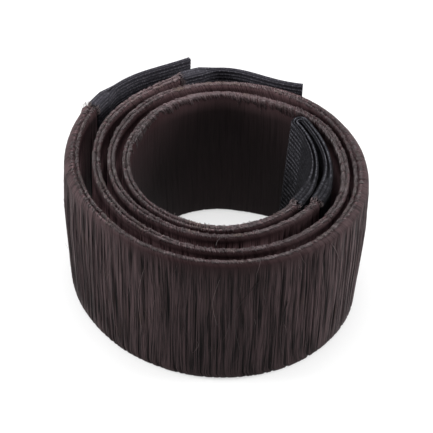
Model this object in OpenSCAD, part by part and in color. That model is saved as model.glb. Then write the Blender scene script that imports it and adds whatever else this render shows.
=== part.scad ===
// Bun maker of two flat half-bands wrapped in hair. They lie face to face, are joined at
// their ends by black ribbed ribbon, and are rolled up into a coil that stands on its edge.
// The origin is on the ground under the middle of the coil, with the front towards -Y.

/* [Coil] */
// Radius of the coil's outer rim
coil_r = 42; // [40:0.5:46]
// Widest gap that opens between neighbouring turns
slack = 5; // [4:0.25:6]
// How far the rims stand to the right of the feet
lean = 1.2; // [0:0.1:2]

/* [Half-bands] */
// Width of a half-band, which is the height of the coil
band_h = 45; // [38:1:55]
// Thickness of a half-band
band_t = 2.6; // [2.2:0.1:3]
// Height over which a rim rounds off
rim_h = 1.6; // [1:0.1:2.5]
// Depth of the crease between a rim's two ridges
crease = 0.6; // [0.2:0.1:0.9]
// How far the hair puffs out of the coil's outside at its fullest
puff = 2.2; // [0:0.1:3]
// Turn, in degrees, at which the hair of the inner half-band starts
inner_start = 42; // [38:1:48]
// Turn, in degrees, at which the hair of the inner half-band ends
inner_end = 613; // [605:1:616]
// Turn, in degrees, at which the hair of the outer half-band starts
outer_start = 34; // [30:1:38]
// Turn, in degrees, at which the hair of the outer half-band ends
outer_end = 572; // [560:1:576]

/* [Bare ends] */
// Length of a half-band's bare end, which sits in the ribbon
end_l = 6; // [4:0.5:8]
// Thickness of a half-band's bare end
end_t = 1.6; // [1.2:0.1:2]

/* [Ribbon] */
// Thickness of one ply of the ribbon
ply_t = 0.8; // [0.6:0.05:1]
// Room between a bare end and the ribbon round it
fit_gap = 0.3; // [0.2:0.05:0.4]
// How far the ribbon stands above the rims
rise = 0.5; // [0:0.1:1.5]
// Height of the ribbon's lower edge above the ground
lift = 0.3; // [0.2:0.1:0.8]
// Length over which a sleeve narrows to its flat ribbon
taper_l = 5; // [3:0.5:8]
// Length of the flat ribbon on the outer half-band's outer end
outer_tab_l = 30; // [20:0.5:34]
// Length of the flat ribbon on the inner half-band's outer end
inner_tab_l = 31; // [20:0.5:34]
// Thickness of each arm of the inner sleeve, whose plies don't lie flat
arm_t = 2.2; // [1.6:0.1:3]
// Gap between the two arms at the fold that joins them
fold_gap = 0.9; // [0.3:0.1:1.5]
// How much further the foot of the fold reaches than its top
fold_slant = 3; // [0:0.2:5]

/* [Hidden] */

hair_brown = [0.20, 0.15, 0.14];
ribbon_black = [0.09, 0.09, 0.10];

// Plan of the first turn. Turns are degrees clockwise from the right, seen from above.
// Columns: turn, radius of the inner half-band as a share of coil_r, gap between the
// half-bands as a share of slack.
first_turn = [
    [  0, 0.640, 0.28],
    [ 30, 0.672, 0.35],
    [ 60, 0.692, 0.19],
    [ 90, 0.703, 0.07],
    [120, 0.666, 0.09],
    [150, 0.637, 0.24],
    [180, 0.623, 0.33],
    [210, 0.632, 0.42],
    [240, 0.673, 0.42],
    [270, 0.698, 0.37],
    [300, 0.712, 0.46],
    [330, 0.790, 0.18],
];

// Plan of the second turn. Columns: turn, gap between it and the first turn, gap between
// the half-bands, both as shares of slack.
second_turn = [
    [360, 0.39, 0.14],
    [390, 0.63, 0.21],
    [420, 0.75, 0.37],
    [450, 0.60, 0.37],
    [480, 0.47, 0.49],
    [510, 0.32, 0.54],
    [540, 0.34, 0.68],
    [570, 0.46, 0.86],
    [600, 0.32, 1.10],
    [630, 0.78, 1.10],
];

// Fullness of the hair on the coil's outside. Columns: turn, share of puff.
fullness = [
    [275, 0.0],
    [310, 0.9],
    [335, 0.8],
    [355, 1.0],
    [375, 1.0],
    [400, 0.5],
    [425, 0.1],
    [500, 0.1],
    [520, 0.7],
    [540, 1.0],
    [555, 0.8],
    [580, 0.7],
];

turn_step = first_turn[1][0] - first_turn[0][0];

inner_r = concat(
    [for (row = first_turn) row[1] * coil_r],
    [for (i = [0 : len(second_turn) - 1])
        first_outer_r(i) + band_t + second_turn[i][1] * slack]);
outer_r = [for (i = [0 : len(inner_r) - 1]) inner_r[i] + band_t + gap_between(i) * slack];

function gap_between(i) =
    i < len(first_turn) ? first_turn[i][2] : second_turn[i - len(first_turn)][2];
function first_outer_r(i) = first_turn[i][1] * coil_r + band_t + first_turn[i][2] * slack;

// Height at which the hair is fullest, as a share of band_h
belly = 0.6;
// Degrees of turn between a half-band's sections
band_step = 5;

// Half of a rim's outline, from its side to its middle. Columns: offset as a share of half
// the thickness, depth below the rim as a share of rim_h, share of the puff there.
rim_side = [
    [0.92, 1.00, 0.90],
    [0.82, 0.25, 0.30],
    [0.52, 0.00, 0.00],
];
// The same for a foot, whose ridges are flattened where they stand.
foot_side = [
    [0.92, 1.00, 0.40],
    [0.74, 0.00, 0.10],
    [0.38, 0.00, 0.00],
];

// Half thickness of a sleeve over a bare end, of a tab's two flat plies, and of an arm
sleeve_half = end_t / 2 + fit_gap + ply_t;
tab_half = ply_t;
arm_half = arm_t / 2;
ribbon_top = band_h + rise;
// Height at which a bare end starts and stops inside its sleeve
end_low = lift + ply_t + fit_gap;
end_high = ribbon_top - ply_t - fit_gap;

// The fold lies beside the inside of the first turn, at this turn.
fold_turn = 325;
fold_beside = station(inner_r, fold_turn);
fold_r = (arm_t + fold_gap) / 2;
fold_step = -fold_slant * fold_beside[1];
// The turn beside the fold curves towards its slanting foot by this much.
fold_sag = pow(fold_slant, 2) / (2 * norm(fold_beside[0]));
// Angle by which the fold dives inwards from the turn beside it, and the angle by which
// the two arms spread as they leave it, less than 0 where they draw together
fold_dive = 17;
fold_spread = -2;
// How far the fold and an arm run straight before they bend, as shares of their chords,
// and their sections
fold_grip = 0.66;
fold_steps = 8;
arm_grip = 0.36;
arm_steps = 14;

// Angles by which the tabs' chords and tips turn away from their half-bands
outer_chord = -20.5;
outer_curl = -26;
inner_chord = -29;
inner_curl = -25;
// How far a tab runs straight before it bends, as a share of its chord, and its sections
tab_grip = 0.42;
tab_steps = 12;

// Sections of a sleeve over a bare end
sleeve_steps = 3;
// Size of a flat outline's corners as a share of its half thickness, and how much of a
// corner its middle point cuts off
corner_share = 0.8;
corner_cut = 0.3;

function unit(v) = v / norm(v);
function turned(v, a) = [v[0] * cos(a) - v[1] * sin(a), v[0] * sin(a) + v[1] * cos(a)];

// Value between a list's entries, on a smooth curve through them
function smooth(list, at) =
    let (i = max(0, min(len(list) - 2, floor(at))),
         t = at - i,
         a = list[max(i - 1, 0)],
         b = list[i],
         c = list[i + 1],
         d = list[min(i + 2, len(list) - 1)])
    b + t * (c - a) / 2 + t * t * (2 * a - 5 * b + 4 * c - d) / 2
      + t * t * t * (3 * b - 3 * c + d - a) / 2;
function radius(radii, turn) = smooth(radii, turn / turn_step);
function plan(radii, turn) = radius(radii, turn) * [cos(turn), -sin(turn)];

// A station is a point of the plan and the heading there, clockwise round the coil.
function station(radii, turn) =
    [plan(radii, turn), unit(plan(radii, turn + 0.5) - plan(radii, turn - 0.5))];
function reversed(s) = [s[0], -s[1]];
function turns_for(radii, turn, length) = length / radius(radii, turn) * 180 / PI;

// Stations on a curve from one station to another
function bend(from, to, grip, count) =
    let (reach = grip * norm(to[0] - from[0]),
         b = from[0] + from[1] * reach,
         c = to[0] - to[1] * reach)
    [for (i = [0 : count])
        let (t = i / count, u = 1 - t)
        [u * u * u * from[0] + 3 * u * u * t * b + 3 * u * t * t * c + t * t * t * to[0],
         unit(u * u * (b - from[0]) + 2 * u * t * (c - b) + t * t * (to[0] - c))]];

// Outline of a half-band's hair across its width, as [offset, height] points, with its
// outer side puffed out by a given amount
function band_outline(out) =
    let (half = band_t / 2, last = len(rim_side) - 1)
    concat(
        [[0, crease]],
        [for (i = [last : -1 : 0]) let (p = foot_side[i]) [p[0] * half + p[2] * out, p[1] * rim_h]],
        [[half + out, band_h * belly]],
        [for (p = rim_side) [p[0] * half + p[2] * out, band_h - p[1] * rim_h]],
        [[0, band_h - crease]],
        [for (i = [last : -1 : 0]) let (p = rim_side[i]) [-p[0] * half, band_h - p[1] * rim_h]],
        [[-half, band_h * belly]],
        [for (p = foot_side) [-p[0] * half, p[1] * rim_h]]);

// Flat outline with rounded corners, with as many points as a half-band's
function flat_outline(half, low, high) =
    let (c = half * corner_share, m = half - c, d = c * corner_cut, middle = (low + high) / 2)
    [[0, low], [m, low], [half - d, low + d], [half, low + c],
     [half, middle], [half, high - c], [half - d, high - d], [m, high],
     [0, high], [-m, high], [-half + d, high - d], [-half, high - c],
     [-half, middle], [-half, low + c], [-half + d, low + d], [-m, low]];

// Points of an outline set up across a station. The foot leans to the left, and may take
// a further step in the plan.
function ring(s, outline, step = [0, 0]) =
    [for (p = outline)
        let (down = 1 - p[1] / band_h)
        [s[0][0] - s[1][1] * p[0] + (step[0] - lean) * down,
         s[0][1] + s[1][0] * p[0] + step[1] * down,
         p[1]]];

// Closed skin through rings of equally many points, in the order of the headings, with a
// fan of faces about the middle of each end
module skin(rings) {
    n = len(rings[0]);
    last = len(rings) - 1;
    start = n * len(rings);
    polyhedron(
        points = concat(
            [for (r = rings) each r],
            [for (r = [rings[0], rings[last]]) (r[0] + r[n / 2]) / 2]),
        faces = [for (j = [0 : n - 1])
            let (k = (j + 1) % n, end = last * n)
            each concat(
                [[start, j, k], [start + 1, end + k, end + j]],
                [for (a = [0 : n : end - n])
                    each [[a + j, a + n + j, a + n + k], [a + j, a + n + k, a + k]]])],
        convexity = 10);
}

module ribbon_skin(sections) {
    skin([for (s = sections) ring(s[0], s[1], s[2])]);
}

module half_band(radii, start, end, puffed) {
    bare = flat_outline(end_t / 2, end_low, end_high);
    before = start - turns_for(radii, start, end_l);
    after = end + turns_for(radii, end, end_l);
    steps = ceil((end - start) / band_step);
    skin(concat(
        [for (t = [before, (before + start) / 2, start]) ring(station(radii, t), bare)],
        [for (i = [0 : steps])
            let (t = start + (end - start) * i / steps)
            ring(station(radii, t), band_outline(puffed * lookup(t, fullness)))],
        [for (t = [end, (end + after) / 2, after]) ring(station(radii, t), bare)]));
}

// Sections of ribbon, as [station, outline, step], from a flat tip to a sleeve's mouth and
// back inside to where the bare end stops. The flat stations run from the tip to there,
// and the sleeve stations on to the mouth. A step of the foot fades out along the flat part.
function ribbon(flat, sleeve, flat_half, step = [0, 0]) =
    let (last = len(flat) - 1,
         pocket = flat_outline(end_t / 2 + fit_gap, end_low - fit_gap, end_high + fit_gap),
         over = flat_outline(sleeve_half, lift, ribbon_top))
    concat(
        [for (i = [0 : last])
            let (left = norm(flat[last][0] - flat[i][0]),
                 swell = max(0, 1 - left / taper_l),
                 half = flat_half + (sleeve_half - flat_half) * swell)
            [flat[i], flat_outline(half, lift, ribbon_top), step * (1 - i / last)]],
        [for (i = [1 : len(sleeve) - 1]) [sleeve[i], over, [0, 0]]],
        [for (i = [len(sleeve) - 1 : -1 : 0]) [sleeve[i], pocket, [0, 0]]]);
function backwards(sections) =
    [for (i = [len(sections) - 1 : -1 : 0])
        [reversed(sections[i][0]), sections[i][1], sections[i][2]]];

// Stations over a bare end, from just past where it stops to the mouth beside the hair
function sleeve_stations(radii, mouth, side, flip) =
    let (deep = turns_for(radii, mouth, end_l + fit_gap),
         shallow = turns_for(radii, mouth, fit_gap))
    [for (i = [sleeve_steps : -1 : 0])
        let (in = shallow + (deep - shallow) * i / sleeve_steps,
             s = station(radii, mouth + side * in))
        flip ? reversed(s) : s];

// Station at which an arm leaves the fold, on the fold's outer (1) or inner (-1) side
function fold_end(side) =
    let (left = turned(fold_beside[1], 90),
         middle = fold_beside[0] - left * (band_t / 2 + fit_gap + fold_sag + fold_r + arm_half),
         heading = turned(fold_beside[1], -fold_dive))
    [middle + turned(heading, 90) * fold_r * side, turned(heading, side * fold_spread / 2)];

// Sections of an arm from the fold to the sleeve over the start of a half-band
function arm(radii, start, side) =
    let (sleeve = sleeve_stations(radii, start, -1, false))
    ribbon(bend(fold_end(side), sleeve[0], arm_grip, arm_steps), sleeve, arm_half, fold_step);

// Sections of the fold between its two ends, from the inner one to the outer one
function fold() =
    let (all = bend(reversed(fold_end(-1)), fold_end(1), fold_grip, fold_steps))
    [for (i = [1 : fold_steps - 1])
        [all[i], flat_outline(arm_half, lift, ribbon_top), fold_step]];

module tab(radii, end, length, chord, curl) {
    sleeve = sleeve_stations(radii, end, 1, true);
    root = sleeve[0];
    tip = root[0] + turned(-root[1], chord) * length;
    ribbon_skin(ribbon(
        bend([tip, -turned(-root[1], curl)], root, tab_grip, tab_steps),
        sleeve, tab_half));
}

module inner_band() {
    color(hair_brown) half_band(inner_r, inner_start, inner_end, 0);
}

module outer_band() {
    color(hair_brown) half_band(outer_r, outer_start, outer_end, puff);
}

module inner_sleeve() {
    color(ribbon_black) ribbon_skin(concat(
        backwards(arm(inner_r, inner_start, -1)), fold(), arm(outer_r, outer_start, 1)));
}

module outer_tab() {
    color(ribbon_black) tab(outer_r, outer_end, outer_tab_l, outer_chord, outer_curl);
}

module inner_tab() {
    color(ribbon_black) tab(inner_r, inner_end, inner_tab_l, inner_chord, inner_curl);
}

inner_band();
outer_band();
inner_sleeve();
outer_tab();
inner_tab();
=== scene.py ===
import math

import bmesh
import bpy
import numpy as np
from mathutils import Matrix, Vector


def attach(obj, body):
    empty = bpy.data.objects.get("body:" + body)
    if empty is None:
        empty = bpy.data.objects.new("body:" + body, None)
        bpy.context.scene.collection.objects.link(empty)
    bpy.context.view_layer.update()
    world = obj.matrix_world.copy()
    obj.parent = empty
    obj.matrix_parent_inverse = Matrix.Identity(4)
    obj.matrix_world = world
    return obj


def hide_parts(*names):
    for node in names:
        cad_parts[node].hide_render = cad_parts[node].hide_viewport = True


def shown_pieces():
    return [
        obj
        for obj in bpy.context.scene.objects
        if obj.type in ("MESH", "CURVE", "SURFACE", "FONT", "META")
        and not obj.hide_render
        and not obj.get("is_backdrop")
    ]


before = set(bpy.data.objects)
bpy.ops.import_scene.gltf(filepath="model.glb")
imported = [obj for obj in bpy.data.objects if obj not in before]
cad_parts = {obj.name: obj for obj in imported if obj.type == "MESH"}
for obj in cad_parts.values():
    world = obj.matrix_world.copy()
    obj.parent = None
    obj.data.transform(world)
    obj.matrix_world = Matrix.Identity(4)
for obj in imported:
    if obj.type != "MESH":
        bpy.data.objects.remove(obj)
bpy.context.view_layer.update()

# Lengths are metres and turns are degrees clockwise from the right, seen from above.
coil = {
    "radius": 0.042,  # outer rim
    "slack": 0.005,  # gap between neighbours where its share below is 1
    "lean": 0.0012,  # how far the rims stand to the right of the feet
    "overrun": 20,  # that a middle line runs on past a half-band's ends
    "sampleStep": 0.25,
    "headingStep": 0.5,
    "turnStep": 30,  # between rows of the two tables below
    # radius of the inner half-band as a share of the radius, gap between the half-bands
    # as a share of the slack
    "firstTurn": [
        (0.640, 0.28), (0.672, 0.35), (0.692, 0.19), (0.703, 0.07), (0.666, 0.09), (0.637, 0.24),
        (0.623, 0.33), (0.632, 0.42), (0.673, 0.42), (0.698, 0.37), (0.712, 0.46), (0.790, 0.18),
    ],
    # gap to the first turn and gap between the half-bands, as shares of the slack
    "secondTurn": [
        (0.39, 0.14), (0.63, 0.21), (0.75, 0.37), (0.60, 0.37), (0.47, 0.49),
        (0.32, 0.54), (0.34, 0.68), (0.46, 0.86), (0.32, 1.10), (0.78, 1.10),
    ],
}


def smoothed(values, at):  # value between a list's entries, on a smooth curve through them
    values = np.asarray(values, float)
    at = np.asarray(at, float)
    i = np.clip(np.floor(at).astype(int), 0, len(values) - 2)
    t = at - i
    a = values[np.maximum(i - 1, 0)]
    b = values[i]
    c = values[i + 1]
    d = values[np.minimum(i + 2, len(values) - 1)]
    return (b + t * (c - a) / 2 + t ** 2 * (2 * a - 5 * b + 4 * c - d) / 2
            + t ** 3 * (3 * b - 3 * c + d - a) / 2)


def fromTable(table, at):  # value between a table's rows, in straight steps
    return np.interp(at, *zip(*table))


def eased(share):  # slow at both ends
    return share * share * (3 - 2 * share)


def runningLength(points):  # how far along a line each of its points is
    steps = np.linalg.norm(np.diff(points, axis=0), axis=1)
    return np.concatenate([[0], np.cumsum(steps)])


def planPoint(radii, turn):
    angle = np.radians(turn)
    radius = smoothed(radii, np.asarray(turn) / coil["turnStep"])
    return np.stack([radius * np.cos(angle), -radius * np.sin(angle)], -1)


def unit(vectors):
    return vectors / np.linalg.norm(vectors, axis=-1, keepdims=True)


def headingAt(radii, turn):
    step = coil["headingStep"]
    return unit(planPoint(radii, turn + step) - planPoint(radii, turn - step))


def coilRadii(thickness):  # middle lines of the inner and the outer half-band
    slack = coil["slack"]
    inner = [share * coil["radius"] for share, gap in coil["firstTurn"]]
    firstOuter = [r + thickness + row[1] * slack for r, row in zip(inner, coil["firstTurn"])]
    inner += [r + thickness + row[0] * slack for r, row in zip(firstOuter, coil["secondTurn"])]
    gaps = [row[1] for row in coil["firstTurn"] + coil["secondTurn"]]
    outer = [r + thickness + gap * slack for r, gap in zip(inner, gaps)]
    return inner, outer


noiseCells = (509, 61)  # before the field below repeats


def softNoise(seed, u, v):  # smooth random field from -1 to 1 with a cell of 1 by 1
    table = np.random.default_rng(seed).uniform(-1, 1, noiseCells)
    across, up = noiseCells
    i, j = np.floor(u).astype(int), np.floor(v).astype(int)
    s, t = eased(u - i), eased(v - j)
    i0, i1, j0, j1 = i % across, (i + 1) % across, j % up, (j + 1) % up
    low = table[i0, j0] * (1 - s) + table[i1, j0] * s
    high = table[i0, j1] * (1 - s) + table[i1, j1] * s
    return low * (1 - t) + high * t


# The hair that is wound across each half-band
hair = {
    "width": 0.045,
    "thickness": 0.0026,
    "rimHeight": 0.0016,  # over which a rim rounds off
    "rimShare": 0.94,  # half thickness at the rims, of that at the belly
    "crease": 0.0014,  # between a rim's two ridges
    "belly": 0.6,  # height at which the hair is fullest, of the width
    "footRound": 0.7,  # how high a foot rounds off, of a rim
    "puff": 0.0022,  # how far the coil's outside stands out at its fullest
    "rimPuff": [(0, 0), (0.25, 0.3), (1, 0.9)],  # share of the way down a rim, share of the puff
    "footPuff": 0.44,  # share of a rim's puff that a foot has
    "wallPuff": (0.4, 1, 0.9),  # share of the puff at the wall's foot, belly and top
    "holePuff": (0.0012, 0.0006),  # how far it stands into the hole, at the foot and at the rim
    "holePuffFoot": (0.006, 0.022),  # heights over which the foot's puff into the hole fades
    "holePuffRim": 0.008,  # below the rim, where its puff into the hole begins
    "rimSteps": 39,  # of the section over half a rim, a multiple of three
    "wallSteps": 58,
    "ridgeWidth": 0.00024,
    "bareLength": 0.006,  # end that sits in the ribbon
    "bareThickness": 0.0016,
    "bareFrom": 0.0014,
    "bareTo": 0.0444,
    "bareRoot": 0.00001,  # where its mesh starts
    "shoulder": 0.0007,
    "shoulderSteps": [0, 0.03, 0.12, 0.3, 0.6],
    "collar": 0.0035,  # over which the hair swells to meet the ribbon's mouth
    "collarHalf": 0.0016,
    "collarRise": 0.0003,
    "columnPitch": 0.00022,
    "rowCounts": (5, 11, 26, 11, 5),  # half foot, outer side, rim, inner side, half foot
    "mapScale": 1000,  # the map along and round the hair is in millimetres
    "holeCalm": 0.85,  # how far the hole's wall loses its streaks
    "rimSlant": 0.5,  # how far the winding drifts along the band for each step over a rim
    "wallSlant": 0.015,
}
halfBands = {
    "innerHalfBand": {
        "node": "inner_band", "start": 42, "end": 613, "puffed": 0, "seed": 11,
        "outsideShows": (572, 580),  # from the first to the second turn it comes into the open
        # turn, how distinct the rim's two ridges are
        "ridges": [(42, 0.5), (70, 0.4), (110, 0.9), (200, 1), (240, 0.5), (300, 0.3), (345, 0.9),
                   (385, 0.9), (410, 0.4), (455, 0.4), (490, 0.9), (540, 1), (613, 0.7)],
    },
    "outerHalfBand": {
        "node": "outer_band", "start": 34, "end": 572, "puffed": 1, "seed": 23,
        "outsideShows": (205, 215),
        "ridges": [(34, 0.5), (60, 0.2), (105, 0.4), (150, 1), (215, 1), (260, 0.4), (310, 0.5),
                   (350, 1), (385, 0.9), (405, 0.2), (480, 0.1), (505, 0.9), (572, 1)],
    },
}
# Turn, share of the puff
fullness = [(275, 0), (310, 0.9), (335, 0.8), (355, 1), (375, 1), (400, 0.5), (425, 0.1),
            (500, 0.1), (520, 0.7), (540, 1), (555, 0.8), (580, 0.7)]
holeFullness = {
    "foot": [(190, 0), (215, 0.8), (240, 1), (285, 1), (308, 0)],
    "rim": [(50, 0), (75, 1), (110, 1), (130, 0)],
}

innerRadii, outerRadii = coilRadii(hair["thickness"])
halfBands["innerHalfBand"]["radii"] = innerRadii
halfBands["outerHalfBand"]["radii"] = outerRadii


def bandProfile():  # round a half-band's section, from the middle of the foot up the outer side
    half, width, rim = hair["thickness"] / 2, hair["width"], hair["rimHeight"]
    edge = half * hair["rimShare"]
    rimSteps, wallSteps = hair["rimSteps"], hair["wallSteps"]
    sweep = np.linspace(0, math.pi / 2, rimSteps + 1)
    single = rim * (1 - np.cos(sweep))
    share = np.sin(sweep)
    rounded = 1 - np.sqrt(np.clip(1 - (2 * share - 1) ** 2, 0, 1))
    double = np.where(share < 0.5, hair["crease"], rim) * rounded
    rise = np.linspace(rim, width - rim, wallSteps + 2)[1:-1]
    belly = hair["belly"] * width
    hollow = np.where(rise < belly, (belly - rise) / belly, (rise - belly) / (width - belly))
    side = edge + (half - edge) * (1 - hollow ** 2)
    rimPuff = fromTable(hair["rimPuff"], single / rim)
    wallPuff = np.interp(rise, [rim, belly, width - rim], hair["wallPuff"])
    foot = single * hair["footRound"]
    inRim = single - double
    down = rise[::-1]
    # Foot, outer side, outer half of the rim, inner half, inner side and foot
    level = [share * 0, rise * 0, share * 0, share[1:] * 0, rise * 0, share * 0]
    x = [edge * share, side, edge * share[::-1], -edge * share[1:], -side[::-1],
         -edge * share[::-1]]
    z = [foot, rise, width - single[::-1], width - single[1:], down, foot[::-1]]
    ridge = [-inRim, 0, inRim[::-1], inRim[1:], 0, -inRim[::-1]]
    puff = [rimPuff * hair["footPuff"], wallPuff, rimPuff[::-1], 0, 0, 0]
    footPuff = [0, 0, 0, 0, np.interp(down, hair["holePuffFoot"], [1, 0]), share[::-1]]
    topPuff = [0, 0, 0, share[1:],
               np.interp(down, [width - hair["holePuffRim"], width - rim], [0, 1]), 0]
    x, z, ridge, puff, footPuff, topPuff = (
        np.concatenate([start + more for start, more in zip(level, parts)])
        for parts in (x, z, ridge, puff, footPuff, topPuff))
    around = np.concatenate([[0], np.cumsum(np.hypot(np.diff(x), np.diff(z)))])
    # Marks stand between foot, outer side, rim, inner side and foot. A ridge is a third of
    # the steps from the rim's middle, where half of the half thickness is left.
    marks = np.cumsum([0, rimSteps + 1, wallSteps, 2 * rimSteps + 1, wallSteps, rimSteps + 1])
    top = marks[2] + rimSteps
    return {"x": x, "z": z, "ridge": ridge, "puff": puff, "footPuff": footPuff,
            "topPuff": topPuff, "around": around, "top": around[top],
            "ridgeStep": around[top] - around[top - rimSteps // 3],
            "marks": [around[min(m, len(around) - 1)] for m in marks]}


profile = bandProfile()


def slantAt(around):  # how far along the band the winding has drifted
    marks = profile["marks"]
    steep, flat = hair["rimSlant"], hair["wallSlant"]
    drift = [0]
    for i, slope in enumerate((steep, flat, steep, flat, steep)):
        drift.append(drift[-1] + slope * (marks[i + 1] - marks[i]))
    return np.interp(around, marks, drift)


def turnAt(band, along):
    return np.interp(along, band["along"], band["turns"])


def alongAt(band, turn):
    return np.interp(turn, band["turns"], band["along"])


def prepareBand(band):
    turns = np.arange(band["start"] - coil["overrun"], band["end"] + coil["overrun"],
                      coil["sampleStep"])
    along = runningLength(planPoint(band["radii"], turns))
    along -= np.interp(band["start"], turns, along)
    band["turns"], band["along"] = turns, along
    band["length"] = float(alongAt(band, band["end"]))


for band in halfBands.values():
    prepareBand(band)


def byTurn(table, band, along):
    return fromTable(table, turnAt(band, along))


def fromProfile(part, around):
    return np.interp(around, profile["around"], profile[part])


def sectionPoint(band, along, around):  # offset and height in a half-band's section
    turn = turnAt(band, along)
    ridges = fromTable(band["ridges"], turn)
    puff = hair["puff"] * band["puffed"] * fromTable(fullness, turn)
    x = fromProfile("x", around) + puff * fromProfile("puff", around)
    if not band["puffed"]:
        for i, (part, table) in enumerate((("footPuff", "foot"), ("topPuff", "rim"))):
            puff = hair["holePuff"][i] * fromTable(holeFullness[table], turn)
            x = x - puff * fromProfile(part, around)
    z = fromProfile("z", around) + ridges * fromProfile("ridge", around)
    fromEnd = np.minimum(along, band["length"] - along)
    collar = eased(np.clip(1 - fromEnd / hair["collar"], 0, 1))
    half = hair["thickness"] / 2
    x = x * (1 + collar * (hair["collarHalf"] / half - 1))
    z = z + collar * hair["collarRise"] * np.clip(z / hair["width"], 0, 1)
    bare = 1 - np.sqrt(1 - (1 - np.clip(fromEnd / hair["shoulder"], 0, 1)) ** 2)
    thin = np.clip(x, -half, half) * hair["bareThickness"] / hair["thickness"]
    short = np.interp(z, [0, hair["width"]], [hair["bareFrom"], hair["bareTo"]])
    return x * (1 - bare) + thin * bare, z * (1 - bare) + short * bare


probe = 0.0002  # step over which a direction is measured


def bandPoint(band, along, around, lift):  # place and outward direction on a half-band
    x, z = sectionPoint(band, along, around)
    near, far = (sectionPoint(band, along, around + step) for step in (-probe, probe))
    across, up = far[0] - near[0], far[1] - near[1]
    size = np.hypot(across, up) + 1e-12
    outX, outZ = up / size, -across / size
    x, z = x + outX * lift, z + outZ * lift
    turn = turnAt(band, along)
    place = planPoint(band["radii"], turn)
    heading = headingAt(band["radii"], turn)
    lean = coil["lean"] * (1 - z / hair["width"])
    point = np.stack([place[..., 0] - heading[..., 1] * x - lean,
                      place[..., 1] + heading[..., 0] * x, np.maximum(z, 0)], -1)
    normal = np.stack([-heading[..., 1] * outX, heading[..., 0] * outX, outZ], -1)
    return point, normal


# Locks of hair, with finer ones within them
locks = {
    "pitch": 0.0019, "depth": 0.0005, "sharpness": 4,
    "finePitch": 0.00065, "fineDepth": 0.00016, "fineSharpness": 1.8,
    "count": 4099,  # before they repeat
    "jitter": 0.22,  # of a border, in pitches
    "drift": [(0.07, 0.011), (0.02, 0.005)],  # of a border, in pitches, and over what length
    "fade": 0.0085,  # length of hair over which a border comes and goes
    # how far the winding strays, and over what lengths along and round the band
    "stray": [(0.0006, 0.008, 0.021), (0.0002, 0.0042, 0.008)],
    "straightEnd": 0.004,  # of a half-band, where the winding doesn't stray
    "calm": [(0.0006, 0.12), (0.0026, 1)],  # distance below the rim, share of the depth
    "fineCalm": 0.45,  # share of the fine depth that is left without the locks
    "holeCalm": 0.65,  # share of the depth that is lost in the hole
    "footCalm": 0.0009, "endCalm": 0.0015,  # lengths over which the relief runs out
    "tones": (0.6, 0.4),  # shares of a lock and of a fine lock in the tone
    "grooves": (1.5, 1.2),  # how dark their painted shade is, and how sharply
    "fineGrooves": (0.05, 1.2),  # how dark the painted shade in the fine grooves is at least, and among the locks
}


def lockCells(along, around, pitch, seed):
    # Locks lie side by side, and the borders between them wander along the hair. Gives the
    # place across a lock from 0 to 1, its number, and how strong its nearest border is.
    source = np.random.default_rng(seed)
    jitter = source.uniform(-locks["jitter"], locks["jitter"], locks["count"])
    phase = source.uniform(0, 2 * math.pi, (3, locks["count"]))
    first = np.floor(along / pitch).astype(int) - 1
    below = np.full(along.shape, -1.0)
    above = np.full(along.shape, 1.0)
    number = np.zeros(along.shape, int)
    for step in range(4):
        index = first + step
        key = index % locks["count"]
        drift = sum(size * np.sin(around / length + phase[i, key])
                    for i, (size, length) in enumerate(locks["drift"]))
        border = (index + jitter[key] + drift) * pitch
        under = border <= along
        number = np.where(under & (border > below), index, number)
        below = np.where(under, np.maximum(below, border), below)
        above = np.where(under, above, np.minimum(above, border))
    share = (along - below) / (above - below)
    nearest = np.where(share < 0.5, number, number + 1) % locks["count"]
    strength = (0.5 + 0.5 * np.sin(around / locks["fade"] + phase[2, nearest])) ** 2
    return share, number, strength


def awayFromEnds(run, length, fade):  # 0 at both ends of a run, 1 from the fade on
    return np.interp(run, [0, fade, length - fade, length], [0, 1, 1, 0])


def combed(band, along, around):  # distance along the band measured at the hair's own start
    stray = 0
    for seed, (size, alongCell, aroundCell) in zip((0, 3), locks["stray"]):
        noise = softNoise(band["seed"] + seed, along / alongCell + 300, around / aroundCell)
        stray = stray + size * noise
    stray = stray * awayFromEnds(along, band["length"], locks["straightEnd"])
    return along - slantAt(around) + stray + 0.05  # kept above zero


def relief(band, along, around):
    comb = combed(band, along, around)
    share, number, strength = lockCells(comb, around, locks["pitch"], band["seed"])
    fineShare, fineNumber, fineStrength = lockCells(
        comb, around, locks["finePitch"], band["seed"] + 1)
    dip = np.abs(2 * share - 1) ** locks["sharpness"] * strength
    fineDip = np.abs(2 * fineShare - 1) ** locks["fineSharpness"] * fineStrength
    raised = fromTable(locks["calm"], besideRim(around))
    fineRaised = locks["fineCalm"] + (1 - locks["fineCalm"]) * raised
    ends = awayFromEnds(around, profile["marks"][5], locks["footCalm"])
    ends = ends * awayFromEnds(along, band["length"], locks["endCalm"])
    height = -(locks["depth"] * dip * raised + locks["fineDepth"] * fineDip * fineRaised) * ends
    height = height * (1 - locks["holeCalm"] * inHole(band, along, around))
    tones = np.random.default_rng(band["seed"] + 2).uniform(0, 1, (2, locks["count"]))
    tone = sum(weight * tones[i, key % locks["count"]]
               for i, (weight, key) in enumerate(zip(locks["tones"], (number, fineNumber))))
    dark, sharp = locks["grooves"]
    least, among = locks["fineGrooves"]
    groove = np.clip(dip ** sharp * dark * raised + fineDip * (least + among * raised), 0, 1)
    return height, groove, tone, comb


def besideRim(around):  # how far below the rim, outside or inside
    marks = profile["marks"]
    return np.maximum(np.maximum(marks[2] - around, around - marks[3]), 0)
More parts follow.
